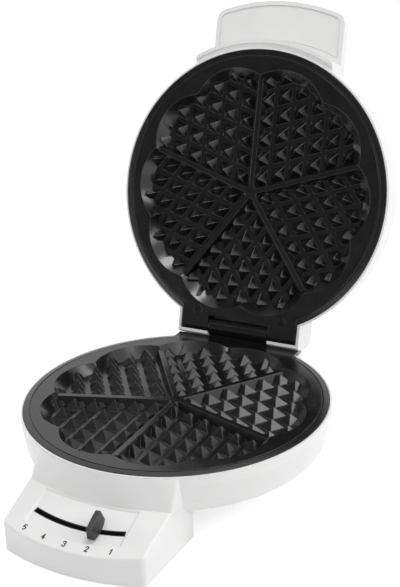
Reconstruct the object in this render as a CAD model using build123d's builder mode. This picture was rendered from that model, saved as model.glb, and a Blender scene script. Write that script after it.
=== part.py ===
from build123d import *

import math
import os

# Heart waffle maker, in millimetres: X to the right, Y to the back, Z up.
# Each half is made with its baking plate's face at Z = 0 and its depth below that. The lid's half is then
# turned over onto the base and opened about the hinge, and both are lifted until the feet stand on Z = 0.

# Baking plates
PLATE_R = 103.0
FLANGE_T = 3.0
PLATE_EDGE_R = 0.5
SHOULDER_R = PLATE_R - 4.0
SHOULDER_DROP = 0.7
CAVITY_DEPTH = 7.5
FLOOR_T = 2.5
BOWL_TOP_R = PLATE_R - 7.5
BOWL_FLOOR_R = BOWL_TOP_R - 5.5
HEARTS = 5
LOBE_R = BOWL_TOP_R - 4.5
NOTCH_R = LOBE_R - 6.5
CLEFT_R = LOBE_R - 7.2
CORNER_R = 2.5
FLOOR_NOTCH_R = NOTCH_R - 7.0
FLOOR_LOBE_R = LOBE_R - 7.5
FLOOR_CLEFT_R = CLEFT_R - 3.3
FLOOR_CORNER_R = 5.0
LOBE_ANGLE = 12.0
RIB_TOP_W = 3.6
RIB_H = 5.7
RIB_DRAFT = 22.0
RIM_GROOVE_R = PLATE_R - 4.6
RIM_GROOVE_W = 0.8
RIM_GROOVE_D = 0.6

# Pyramids: a lattice along each heart's two ribs, with its own phase in each heart (axis angle: phases)
PYRAMID_PITCH = 14.0
PYRAMID_SIDE = 10.4
PYRAMID_H = 6.0
PYRAMID_TIP = 0.6
RIB_CLEAR = 2.2
PYRAMID_PHASES = {36: (9.0, 4.8), 108: (5.6, 6.7), 180: (5.6, 10.8), 252: (9.7, 11.2), 324: (11.1, 6.7)}

# Hinge
HINGE_Y = PLATE_R
HINGE_Z = 6.9
CLOSED_GAP = 0.95
REST_OPEN = 105.9
PIN_R = 2.5
PIN_CLEAR = 0.06
HINGE_BLOCK_HALF = 23.7
HINGE_BLOCK_FRONT = 4.2
HINGE_BLOCK_R = 6.4
HINGE_BLOCK_FOOT = 1.3
PIN_HALF = 46.6
PIN_RING_R = 4.4
PIN_RING_T = 0.4
EAR_IN = 24.5
EAR_OUT = 46.0
EAR_ROOT_Y = PLATE_R - 15.0
EAR_CORNER_R = 4.0
EAR_CUT = 8.4
WING_HALF = 48.5
WING_BACK_Y = PLATE_R - 4.4
WING_ROOT_Y = PLATE_R - 19.0

# Housings
SHELL_R = PLATE_R + 1.5
SHELL_FOOT_R = SHELL_R - 1.7
SHELL_STRAIGHT = 8.0
WALL = 2.4
LIP_DROP = 0.8
PLATE_GAP = 0.2
BASE_DEPTH = 30.0
BASE_ROUND = 11.0
LID_DEPTH = 36.0
LID_ROUND = 12.0
LID_CROWN = 2.0
SEAT_HALF = 49.3
SEAT_BACK_Y = HINGE_Y + 5.8
SEAT_CORNER_R = 6.0
SEAT_FRONT_Y = PLATE_R - 33.0
STOP_GAP = 0.3
HOUSING_HALF = 49.0
HOUSING_BACK = 7.8
HOUSING_DEPTH = 26.0
HOUSING_ROUND = 8.0
HOUSING_DROP = 1.0
HOUSING_WALL = 2.1
EAR_HOLLOW_R = 6.25
ARCH_HALF = 24.2
ARCH_R = 9.4
ARCH_WALL = 1.6
ARCH_TOP_Z = -8.2

# Control block, its slope, the scooped scale and the curved slot
TABLE_DROP = 50.0
FOOT_PROUD = 0.8
BLOCK_HALF = 49.3
BLOCK_SPREAD = 1.7
BLOCK_FRONT_R = PLATE_R + 41.5
BLOCK_REAR_Y = 24.5 - PLATE_R
BLOCK_CORNER_R = 4.0
BLOCK_EDGE_R = 1.6
BLOCK_TOP_WALL = 4.0
KNEE_Y = -PLATE_R - 2.4
KNEE_Z = -19.0
SLOPE = 19.44
NECK_HALF = 50.0
NECK_R = PLATE_R + 2.2
NECK_TOP = -1.6
NECK_CORNER_R = 3.5
NECK_FOOT_HALF = 51.0
NECK_FOOT_Y = NECK_R + 4.0
NECK_FOOT_SIDE_Y = NECK_R - 2.2
NECK_FOOT_Z = -20.5
SCALE_CENTRE = -0.9
SCOOP_HALF = 33.7
SCOOP_IN_R = NECK_FOOT_Y + 0.2
SCOOP_OUT_R = NECK_R + 31.3
SCOOP_DEPTH = 0.9
SCOOP_DRAFT = 52.0
SLOT_R = NECK_R + 21.3
SLOT_W = 3.5
SLOT_HALF_ANGLE = 14.6
LINER_T = 1.0
LINER_WALL = 0.55
LINER_W = 8.0
DIGIT_R = SCOOP_OUT_R + 3.3
DIGIT_H = 3.4
DIGIT_LINE = 0.7
DIGIT_T = 0.15

# Slider
POSITION_STEP = 6.25
REST_POSITION = 1
SPINDLE_R = 3.0
SPINDLE_CLEAR = 0.05
SPINDLE_TOP = -14.0
NUT_R = 5.4
NUT_H = 2.2
LEVER_Z = -23.4
LEVER_LOW_Z = -33.5
LEVER_STEP_IN_R = PLATE_R - 12.0
LEVER_STEP_OUT_R = PLATE_R + 5.0
LEVER_TAIL = 8.0
LEVER_T = 1.5
LEVER_W = 11.0
STEM_T = 2.0
STEM_W = 3.8
KNOB_CENTRE_R = SLOT_R
KNOB_LENGTH = 16.0
KNOB_END_W = 4.6
KNOB_W = 7.2
KNOB_TOP_LENGTH = 14.6
KNOB_TOP_W = 3.4
KNOB_TOP_END_W = 3.0
KNOB_H = 8.5
KNOB_LIFT = 1.0
KNOB_EDGE_R = 0.7
SOCKET_DEPTH = 4.0

# Lid front: neck and handle
BRIM_HALF = 53.4
BRIM_R = PLATE_R + 7.2
BRIM_DROP = 0.4
BRIM_T = 5.0
BRIM_DRAFT = 3.5
BRIM_CORNER_R = 3.0
BRIM_GROOVE_W = 2.6
BRIM_GROOVE_D = 1.2
TONGUE_HALF = 12.0
TONGUE_R = PLATE_R + 3.4
TONGUE_DROP = 2.3
TONGUE_T = 1.5
TONGUE_GAP = 0.3
HANDLE_HALF = 50.8
HANDLE_R = PLATE_R + 37.8
HANDLE_Z = -25.0
HANDLE_TIP_Z = -34.5
HANDLE_ROOT_Z = -36.5
HANDLE_ROOT_Y = 17.0 - PLATE_R
HANDLE_CORNER_R = 9.0
HANDLE_EDGE_R = 2.2
HANDLE_WALL = 3.2
TRAY_REAR_R = BRIM_R + 1.6
TRAY_SINK = 0.5
TRAY_T = 2.0
TRAY_EDGE_R = 0.4
TRAY_FIT = 0.05
TRAY_LEDGE = 2.0
TAB_X = 28.0
TAB_Y = 5.0 - PLATE_R
TAB_W = 12.0
TAB_T = 1.6

# Inside
BOSS_R = 4.5
BOSS_CIRCLE_R = 78.0
BOSS_ANGLES = (45, 135, 225, 315)
BOSS_BOTTOM = -20.6
SCREW_R = 1.9
THREAD_FIT = 0.05
SCREW_CLEAR = 0.4
SCREW_HEAD_R = 3.6
SCREW_HEAD_H = 2.2
PLATE_SCREW_SEAT = -25.0
COVER_SCREW_HEAD_H = 1.0
REFLECTOR_R = 87.0
REFLECTOR_T = 0.7
REFLECTOR_RIM_H = 6.0
REFLECTOR_HOLE_R = 27.0
ELEMENT_R = 62.0
ELEMENT_TUBE_R = 3.3
ELEMENT_GAP = 0.1
ELEMENT_ARC = 325.0
ELEMENT_PIN_L = 12.0
CLAMP_ANGLES = (0, 120, 240)
CLAMP_BOSS_R = 50.0
CLAMP_W = 9.0
CLAMP_T = 1.0
CLAMP_SCREW_R = 1.4
THERMOSTAT_R = 13.0
THERMOSTAT_H = 9.0
BRACKET_X = 20.0
BRACKET_W = 9.0
BRACKET_T = 1.0
FUSE_R = 2.2
FUSE_L = 14.0
FUSE_X = 30.0
FUSE_Y = 18.0
LEG_X = 38.0
LEG_Y = PLATE_R - 13.0
LEG_R = 9.0
FOOT_R = 6.5
COVER_T = 2.2
COVER_GAP = 0.25
POST_X = 41.0
POST_FRONT_Y = 17.5 - BLOCK_FRONT_R
POST_BACK_Y = 13.0 - PLATE_R
POST_R = 4.0
SHELL_POST_R = 6.5
FRONT_FOOT_X = 34.0
FRONT_FOOT_Y = 30.5 - BLOCK_FRONT_R
FOOT_PLUG_R = 3.0
LEG_TAPER = 3.0
GLAND_Z = -18.0
GLAND_R = 6.0
GLAND_TIP_R = 4.6
GLAND_L = 20.0
CORD_R = 3.7
GLAND_FLANGE_R = 8.0
GLAND_FLANGE_T = 1.8
CORD_CLAMP_Y = SEAT_BACK_Y - 11.8
CORD_CLAMP_X = 9.5
CORD_CLAMP_W = 7.0
CORD_CLAMP_T = 5.0
CORD_CLAMP_HALF = 14.0
CORD_POST_R = 4.0
REAR_SCREW_X = 34.0
REAR_SCREW_Y = PLATE_R - 12.0
LENS_X = 13.0
LENS_Y = -58.0
LENS_R = 3.5
LENS_FLANGE_R = 4.8
LENS_PROUD = 1.3
LENS_NECK = 6.0
LENS_NECK_R = 3.1
LENS_FLANGE_T = 1.2
LENS_RING_R = 5.0
LENS_RING_T = 1.0
LAMP_R = 2.3
LAMP_L = 11.0
TERMINAL_L = 34.0
TERMINAL_W = 13.0
TERMINAL_H = 10.5
TERMINAL_Y = 7.0 - PLATE_R

EXTRA = 2.0  # how far a cut runs past the face that it opens

TABLE_Z = -TABLE_DROP
SKIRT_Z = TABLE_Z + FOOT_PROUD
PLATE_UNDER = -(CAVITY_DEPTH + FLOOR_T)
LEDGE_Z = -(FLANGE_T + PLATE_GAP)
LEAN = REST_OPEN - 90.0
SEAT_DISTANCE = HOUSING_BACK + STOP_GAP
SEAT_TOP = HINGE_Z - (
    SEAT_DISTANCE + (SEAT_BACK_Y - HINGE_Y) * math.sin(math.radians(LEAN))
) / math.cos(math.radians(LEAN))
LID_AXIS_Z = -(HINGE_Z - CLOSED_GAP)
EAR_R = HINGE_Z - CLOSED_GAP
REST_ANGLE = SCALE_CENTRE + REST_POSITION * POSITION_STEP
ELEMENT_Z = PLATE_UNDER - ELEMENT_GAP - ELEMENT_TUBE_R
CLAMP_Z = ELEMENT_Z - ELEMENT_TUBE_R - ELEMENT_GAP
REFLECTOR_Z = BOSS_BOTTOM - REFLECTOR_T


def around(radius, angle):
    """The point at this radius, at this angle from the front towards the right."""
    turn = math.radians(angle)
    return radius * math.sin(turn), -radius * math.cos(turn)


def radial_plane(angle):
    """The upright plane through the plates' axis, at this angle from the front."""
    out = (*around(1, angle), 0)
    return Plane(origin=(0, 0, 0), x_dir=out, z_dir=(out[1], -out[0], 0))


def slope_z(y):
    """Height of the control block's slope at this Y."""
    return KNEE_Z + (y - KNEE_Y) * math.tan(math.radians(SLOPE))


def cavity_face(height, notch_r, lobe_r, cleft_r, corner_r):
    """The outline of five hearts round the centre, as arcs from rib end to cleft and back."""
    with BuildSketch(Plane.XY.offset(height)) as face:
        with BuildLine():
            for heart in range(HEARTS):
                rib = heart * 360 / HEARTS
                cleft = rib + 180 / HEARTS
                next_rib = rib + 360 / HEARTS
                ThreePointArc(around(notch_r, rib), around(lobe_r, rib + LOBE_ANGLE), around(cleft_r, cleft))
                ThreePointArc(
                    around(cleft_r, cleft), around(lobe_r, next_rib - LOBE_ANGLE), around(notch_r, next_rib)
                )
        make_face()
        fillet(face.vertices(), corner_r)
    return face.sketch


def pyramid_field(axis_angle, phases):
    """One heart's pyramids, cut off in the middle of its ribs and within its wall."""
    sine = math.sin(math.radians(360 / HEARTS))
    first, last = axis_angle - 180 / HEARTS, axis_angle + 180 / HEARTS
    along, across = Vector(*around(1, first)), Vector(*around(1, last))
    side_a, side_b = along * (PYRAMID_SIDE / 2), across * (PYRAMID_SIDE / 2)
    corners = (side_a + side_b, side_b - side_a, -side_a - side_b, side_a - side_b)
    steps = [i * PYRAMID_PITCH for i in range(int(LOBE_R / PYRAMID_PITCH) + 1)]
    nearest = (RIB_TOP_W / 2 + RIB_CLEAR) / sine
    lattice = [
        along * (phases[0] + i) + across * (phases[1] + j)
        for i in steps for j in steps if min(phases[0] + i, phases[1] + j) > nearest
    ]
    half_width = PYRAMID_SIDE * sine / 2
    with BuildPart() as field:
        with BuildSketch(Plane.XY.offset(-CAVITY_DEPTH)):
            with Locations(*[centre for centre in lattice if centre.length < LOBE_R]):
                Polygon(*corners, align=None)
        extrude(amount=PYRAMID_H, taper=math.degrees(math.atan2(half_width - PYRAMID_TIP / 2, PYRAMID_H)))
        with BuildSketch(Plane.XY.offset(-CAVITY_DEPTH)):
            Polygon((0, 0), around(2 * LOBE_R, first), around(2 * LOBE_R, last), align=None)
            Circle(LOBE_R, mode=Mode.INTERSECT)
        extrude(amount=PYRAMID_H, mode=Mode.INTERSECT)
    return field.part


def baking_plate():
    """The part that both plates share: flange, rim groove, bowl, hearts, ribs, pyramids and bosses."""
    with BuildPart() as plate:
        with BuildSketch(Plane.XZ):
            with BuildLine():
                Polyline(
                    (0, PLATE_UNDER), (BOWL_FLOOR_R, PLATE_UNDER), (BOWL_TOP_R, -FLANGE_T),
                    (PLATE_R, -FLANGE_T), (PLATE_R, -SHOULDER_DROP), (SHOULDER_R, 0), (0, 0), close=True,
                )
            make_face()
        revolve()
        edge = plate.edges().filter_by(GeomType.CIRCLE).filter_by(lambda e: e.center().Z == -SHOULDER_DROP)
        fillet(edge, PLATE_EDGE_R)
        with BuildSketch(Plane.XZ):
            with Locations((RIM_GROOVE_R, 0)):
                Rectangle(RIM_GROOVE_W, 2 * RIM_GROOVE_D)
        revolve(mode=Mode.SUBTRACT)
        mouth = cavity_face(0, NOTCH_R, LOBE_R, CLEFT_R, CORNER_R)
        floor = cavity_face(-CAVITY_DEPTH, FLOOR_NOTCH_R, FLOOR_LOBE_R, FLOOR_CLEFT_R, FLOOR_CORNER_R)
        loft([mouth, floor], ruled=True, mode=Mode.SUBTRACT)
        with BuildSketch(Plane.XY.offset(-CAVITY_DEPTH)):
            for heart in range(HEARTS):
                turn = heart * 360 / HEARTS
                with Locations(Location((*around(NOTCH_R / 2, turn), 0), (0, 0, turn))):
                    Rectangle(RIB_TOP_W + 2 * RIB_H * math.tan(math.radians(RIB_DRAFT)), NOTCH_R)
        extrude(amount=RIB_H, taper=RIB_DRAFT)
        for axis_angle, phases in PYRAMID_PHASES.items():
            add(pyramid_field(axis_angle, phases))
        with BuildSketch(Plane.XY.offset(BOSS_BOTTOM)):
            for angle in BOSS_ANGLES:
                with Locations(around(BOSS_CIRCLE_R, angle)):
                    Circle(BOSS_R)
                    Circle(SCREW_R + THREAD_FIT, mode=Mode.SUBTRACT)
        extrude(amount=PLATE_UNDER - BOSS_BOTTOM)
        with BuildSketch(Plane.XY.offset(CLAMP_Z)):
            for angle in CLAMP_ANGLES:
                with Locations(around(CLAMP_BOSS_R, angle)):
                    Circle(CLAMP_W / 2 - CLAMP_T)
                    Circle(CLAMP_SCREW_R + THREAD_FIT, mode=Mode.SUBTRACT)
        extrude(amount=PLATE_UNDER - CLAMP_Z)
    return plate.part


def element():
    """The tubular heater: an open ring whose two cold ends turn down through the reflector."""
    start = 180 - ELEMENT_ARC / 2 - 180
    with BuildPart() as ring:
        with BuildSketch(radial_plane(start)):
            with Locations((ELEMENT_R, ELEMENT_Z)):
                Circle(ELEMENT_TUBE_R)
        revolve(axis=Axis.Z, revolution_arc=ELEMENT_ARC)
        for angle in (start, start + ELEMENT_ARC):
            with Locations((*around(ELEMENT_R, angle), ELEMENT_Z)):
                Sphere(ELEMENT_TUBE_R)
            with BuildSketch(Plane.XY.offset(ELEMENT_Z)):
                with Locations(around(ELEMENT_R, angle)):
                    Circle(ELEMENT_TUBE_R)
            extrude(amount=-ELEMENT_PIN_L)
    return ring.part


def element_clamps():
    """Three straps, each screwed to a boss inside the ring and reaching under the tube."""
    with BuildPart() as straps:
        with BuildSketch(Plane.XY.offset(CLAMP_Z - CLAMP_T)):
            inner, outer = CLAMP_BOSS_R - CLAMP_W / 2, ELEMENT_R + ELEMENT_TUBE_R + CLAMP_T
            for angle in CLAMP_ANGLES:
                with Locations(Location((*around((inner + outer) / 2, angle), 0), (0, 0, angle))):
                    Rectangle(CLAMP_W, outer - inner)
                with Locations(around(CLAMP_BOSS_R, angle)):
                    Circle(CLAMP_SCREW_R + THREAD_FIT, mode=Mode.SUBTRACT)
        extrude(amount=CLAMP_T)
    return straps.part


def screws(places, seat, length, radius, head_r, head_h):
    """Screws with their heads on the plane Z = seat and shanks of this length, down if it is negative."""
    way = math.copysign(1, length)
    with BuildPart() as group:
        with BuildSketch(Plane.XY.offset(seat)):
            with Locations(*places):
                Circle(head_r)
        extrude(amount=-way * head_h)
        fillet(group.edges().filter_by(GeomType.CIRCLE).group_by(Axis.Z)[0 if way > 0 else -1], head_h / 3)
        with BuildSketch(Plane.XY.offset(seat)):
            with Locations(*places):
                Circle(radius)
        extrude(amount=length)
    return group.part


def clamp_screws():
    places = [around(CLAMP_BOSS_R, angle) for angle in CLAMP_ANGLES]
    seat = CLAMP_Z - CLAMP_T
    return screws(places, seat, PLATE_UNDER - CLAMP_T - seat, CLAMP_SCREW_R, 2 * CLAMP_SCREW_R, CLAMP_SCREW_R)


def reflector():
    """Steel dish under the heater, with holes for the middle, the heater's ends and the plate's screws."""
    with BuildPart() as dish:
        with BuildSketch(Plane.XY.offset(REFLECTOR_Z)):
            Circle(REFLECTOR_R)
            Circle(REFLECTOR_HOLE_R, mode=Mode.SUBTRACT)
            for angle in BOSS_ANGLES:
                with Locations(around(BOSS_CIRCLE_R, angle)):
                    Circle(SCREW_R + SCREW_CLEAR, mode=Mode.SUBTRACT)
            for side in (-1, 1):
                with Locations(around(ELEMENT_R, side * ELEMENT_ARC / 2)):
                    Circle(ELEMENT_TUBE_R + 2 * SCREW_CLEAR, mode=Mode.SUBTRACT)
        extrude(amount=REFLECTOR_T)
        with BuildSketch(Plane.XY.offset(REFLECTOR_Z)):
            Circle(REFLECTOR_R)
            Circle(REFLECTOR_R - REFLECTOR_T, mode=Mode.SUBTRACT)
        extrude(amount=REFLECTOR_RIM_H)
    return dish.part


def bowl(inset, depth, round_r, crown, top):
    """A round housing's solid, or with an inset its hollow, from Z = top down to its depth."""
    foot_r = SHELL_FOOT_R - inset
    round_r = round_r - inset
    bottom = inset - depth
    with BuildPart() as form:
        with BuildSketch(Plane.XZ):
            with BuildLine():
                if crown:
                    flat_r = foot_r - round_r
                    ThreePointArc((0, bottom - crown), (flat_r / 2, bottom - 0.75 * crown), (flat_r, bottom))
                else:
                    Line((0, bottom), (foot_r - round_r, bottom))
                CenterArc((foot_r - round_r, bottom + round_r), round_r, -90, 90)
                Polyline(
                    (foot_r, bottom + round_r), (SHELL_R - inset, -SHELL_STRAIGHT), (SHELL_R - inset, top),
                    (0, top), (0, bottom - crown),
                )
            make_face()
        revolve()
    return form.part


def fan(half, front_r, rear_y, corner_r, spread=0):
    """A plan with a front arc about the plates' axis and straight sides that spread to the back."""
    corner_y = -math.sqrt(front_r**2 - half**2)
    with BuildSketch() as plan:
        with BuildLine():
            ThreePointArc((-half, corner_y), (0, -front_r), (half, corner_y))
            rear = half + spread
            Polyline((half, corner_y), (rear, rear_y), (-rear, rear_y), (-half, corner_y))
        make_face()
        fillet(plan.vertices().group_by(Axis.Y)[0], corner_r)
    return plan.sketch


def control_block(side_wall, top_wall, bottom):
    """The block's solid, or with wall thicknesses its hollow: a fan plan under a flat and a slope."""
    with BuildPart() as block:
        with BuildSketch(Plane.XY.offset(bottom)):
            add(
                fan(
                    BLOCK_HALF - side_wall, BLOCK_FRONT_R - side_wall, BLOCK_REAR_Y - side_wall,
                    BLOCK_CORNER_R - side_wall, BLOCK_SPREAD,
                )
            )
        extrude(amount=KNEE_Z - top_wall - bottom)
        reach = -BLOCK_FRONT_R - EXTRA
        with BuildSketch(Plane.YZ):
            with BuildLine():
                knee = (KNEE_Y, KNEE_Z - top_wall)
                Polyline(knee, (reach, slope_z(reach) - top_wall), (reach, KNEE_Z), close=True)
            make_face()
        extrude(amount=BLOCK_HALF + BLOCK_SPREAD + EXTRA, both=True, mode=Mode.SUBTRACT)
        if not top_wall:
            slope_face = block.faces().filter_by(GeomType.PLANE).sort_by(lambda f: f.normal_at().Y)[0]
            rim = slope_face.edges().sort_by(Axis.Y)[:-1]
            fillet(rim, BLOCK_EDGE_R)
    return block.part


def yz_prism(half, *corners):
    """A solid with this outline in Y and Z, across X from -half to half."""
    with BuildPart() as prism:
        with BuildSketch(Plane.YZ):
            with BuildLine():
                Polyline(*corners, close=True)
            make_face()
        extrude(amount=half, both=True)
    return prism.part


def x_rod(radius, half, y, z):
    with BuildPart() as rod:
        with BuildSketch(Plane.YZ):
            with Locations((y, z)):
                Circle(radius)
        extrude(amount=half, both=True)
    return rod.part


def foot_pair(x, y):
    """Two rubber feet, each a disc under the housing with a plug that goes up through its hole."""
    with BuildPart() as feet:
        with BuildSketch(Plane.XY.offset(TABLE_Z)):
            with Locations((-x, y), (x, y)):
                Circle(FOOT_R)
        extrude(amount=FOOT_PROUD)
        with BuildSketch(Plane.XY.offset(SKIRT_Z)):
            with Locations((-x, y), (x, y)):
                Circle(FOOT_PLUG_R)
        extrude(amount=WALL + FOOT_PROUD)
    return feet.part


def holes(places, bottom, height, radius):
    """Upright cylinders at these places, for cutting holes and for posts."""
    with BuildPart() as pegs:
        with BuildSketch(Plane.XY.offset(bottom)):
            with Locations(*places):
                Circle(radius)
        extrude(amount=height)
    return pegs.part


def box_between(x_half, y_low, y_high, z_low, z_high):
    with BuildPart() as block:
        with BuildSketch(Plane.XY.offset(z_low)):
            with Locations((0, y_low)):
                Rectangle(2 * x_half, y_high - y_low, align=(Align.CENTER, Align.MIN))
        extrude(amount=z_high - z_low)
    return block.part


# Base: baking plate with rear wings and hinge block

plate_blank = baking_plate()
boss_places = [around(BOSS_CIRCLE_R, angle) for angle in BOSS_ANGLES]
bracket_places = [(-BRACKET_X, 0), (BRACKET_X, 0)]
bracket_z = PLATE_UNDER - ELEMENT_GAP - THERMOSTAT_H

with BuildPart() as lower_plate:
    add(plate_blank)
    with BuildSketch(Plane.XY.offset(-FLANGE_T)):
        with Locations((0, WING_ROOT_Y)):
            Rectangle(2 * WING_HALF, WING_BACK_Y - WING_ROOT_Y, align=(Align.CENTER, Align.MIN))
        Circle(BOWL_TOP_R, mode=Mode.SUBTRACT)
    extrude(amount=FLANGE_T)
    add(
        box_between(WING_HALF, WING_BACK_Y, PLATE_R + EXTRA, -FLANGE_T - EXTRA, EXTRA),
        mode=Mode.SUBTRACT,
    )
    block_front = HINGE_Y - HINGE_BLOCK_FRONT
    with BuildSketch(Plane.YZ):
        with Locations((HINGE_Y, HINGE_Z)):
            Circle(HINGE_BLOCK_R)
        reach = math.hypot(HINGE_BLOCK_FOOT, HINGE_Z + FLANGE_T)
        heel = math.atan2(HINGE_BLOCK_FOOT, HINGE_Z + FLANGE_T) + math.acos(HINGE_BLOCK_R / reach)
        with BuildLine():
            Polyline(
                (WING_BACK_Y - EXTRA, -FLANGE_T), (WING_BACK_Y - EXTRA, 0), (block_front, 0),
                (block_front, HINGE_Z + HINGE_BLOCK_R), (HINGE_Y, HINGE_Z + HINGE_BLOCK_R),
                (HINGE_Y, HINGE_Z),
                (HINGE_Y + HINGE_BLOCK_R * math.sin(heel), HINGE_Z - HINGE_BLOCK_R * math.cos(heel)),
                (HINGE_Y + HINGE_BLOCK_FOOT, -FLANGE_T), close=True,
            )
        make_face()
        with Locations((HINGE_Y, HINGE_Z)):
            Circle(PIN_R, mode=Mode.SUBTRACT)
    extrude(amount=HINGE_BLOCK_HALF, both=True)
    with BuildSketch(Plane.XY.offset(bracket_z)):
        with Locations(*bracket_places):
            Circle(BRACKET_W / 2 - BRACKET_T)
            Circle(CLAMP_SCREW_R + THREAD_FIT, mode=Mode.SUBTRACT)
    extrude(amount=PLATE_UNDER - bracket_z)

# Base: white housing with control block, neck, hinge seat and rear legs

def apron(height, half, side_y, front_y):
    """The neck's outline at one height: straight sides, round corners and a shallow arc in front."""
    with BuildSketch(Plane.XY.offset(height)) as outline:
        with BuildLine():
            ThreePointArc((-half, -side_y), (0, -front_y), (half, -side_y))
            Polyline((half, -side_y), (half, BLOCK_REAR_Y), (-half, BLOCK_REAR_Y), (-half, -side_y))
        make_face()
        fillet(outline.vertices().group_by(Axis.Y)[0], NECK_CORNER_R)
    return outline.sketch


with BuildPart() as neck:
    top = apron(NECK_TOP, NECK_HALF, math.sqrt(NECK_R**2 - NECK_HALF**2), NECK_R)
    loft([apron(NECK_FOOT_Z, NECK_FOOT_HALF, NECK_FOOT_SIDE_Y, NECK_FOOT_Y), top], ruled=True)

slope_up = (0, math.cos(math.radians(SLOPE)), math.sin(math.radians(SLOPE)))
slope_normal = (0, -slope_up[2], slope_up[1])
scale_x = around(SLOT_R, SCALE_CENTRE)[0]
with BuildPart() as scoop:
    with BuildSketch(Plane(origin=(0, 0, slope_z(0)), x_dir=(1, 0, 0), z_dir=slope_normal)):
        with BuildLine():
            left, right = scale_x - SCOOP_HALF, scale_x + SCOOP_HALF
            stretch = 1 / slope_up[1]
            rear_left = (left, -math.sqrt(SCOOP_IN_R**2 - left**2 / 2) * stretch)
            rear_right = (right, -math.sqrt(SCOOP_IN_R**2 - right**2 / 2) * stretch)
            front_left = (left, -math.sqrt(SCOOP_OUT_R**2 - left**2) * stretch)
            front_right = (right, -math.sqrt(SCOOP_OUT_R**2 - right**2) * stretch)
            ThreePointArc(rear_left, (0, -SCOOP_IN_R * stretch), rear_right)
            Line(rear_right, front_right)
            ThreePointArc(front_right, (0, -SCOOP_OUT_R * stretch), front_left)
            Line(front_left, rear_left)
        make_face()
    extrude(amount=-SCOOP_DEPTH, taper=SCOOP_DRAFT)


def slot_plan(width, half_angle):
    """A curved slot's plan about the plates' axis, with square ends, centred on the scale."""
    low, high = SCALE_CENTRE - half_angle, SCALE_CENTRE + half_angle
    inner, outer = SLOT_R - width / 2, SLOT_R + width / 2
    with BuildSketch() as plan:
        with BuildLine():
            ThreePointArc(around(inner, low), around(inner, SCALE_CENTRE), around(inner, high))
            Line(around(inner, high), around(outer, high))
            ThreePointArc(around(outer, high), around(outer, SCALE_CENTRE), around(outer, low))
            Line(around(outer, low), around(inner, low))
        make_face()
    return plan.sketch


def digit(number):
    """One of the scale's numbers, 1 to 5, as strokes with round ends in a box as high as DIGIT_H."""
    h = DIGIT_H / 2
    w = DIGIT_H / 4
    with BuildLine() as strokes:
        if number == 1:
            Polyline((-w / 2, h * 0.6), (0, h), (0, -h))
        elif number == 2:
            ThreePointArc((-w, h * 0.5), (0, h), (w, h * 0.4))
            Polyline((w, h * 0.4), (-w, -h), (w, -h))
        elif number == 3:
            ThreePointArc((-w, h * 0.7), (w, h * 0.55), (0, h * 0.1))
            ThreePointArc((0, h * 0.1), (w * 1.1, -h * 0.5), (-w, -h * 0.7))
        elif number == 4:
            Polyline((w / 2, -h), (w / 2, h), (-w, -h * 0.3), (w * 1.2, -h * 0.3))
        else:
            Polyline((w, h), (-w * 0.8, h), (-w, h * 0.1))
            ThreePointArc((-w, h * 0.1), (w, -h * 0.4), (-w, -h * 0.8))
    with BuildSketch() as face:
        for stroke in strokes.edges():
            SlotArc(stroke, DIGIT_LINE)
    return face.sketch


leg_places = [(-LEG_X, LEG_Y), (LEG_X, LEG_Y)]
post_places = [(x, y) for x in (-POST_X, POST_X) for y in (POST_FRONT_Y, POST_BACK_Y)]
cord_posts = [(-CORD_CLAMP_X, CORD_CLAMP_Y), (CORD_CLAMP_X, CORD_CLAMP_Y)]
base_floor = WALL - BASE_DEPTH
post_h = REFLECTOR_Z + BASE_DEPTH
clear_r = SCREW_R + SCREW_CLEAR
head_clear_r = SCREW_HEAD_R + SCREW_CLEAR
thread_r = SCREW_R + THREAD_FIT
small_thread_r = CLAMP_SCREW_R + THREAD_FIT

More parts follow.
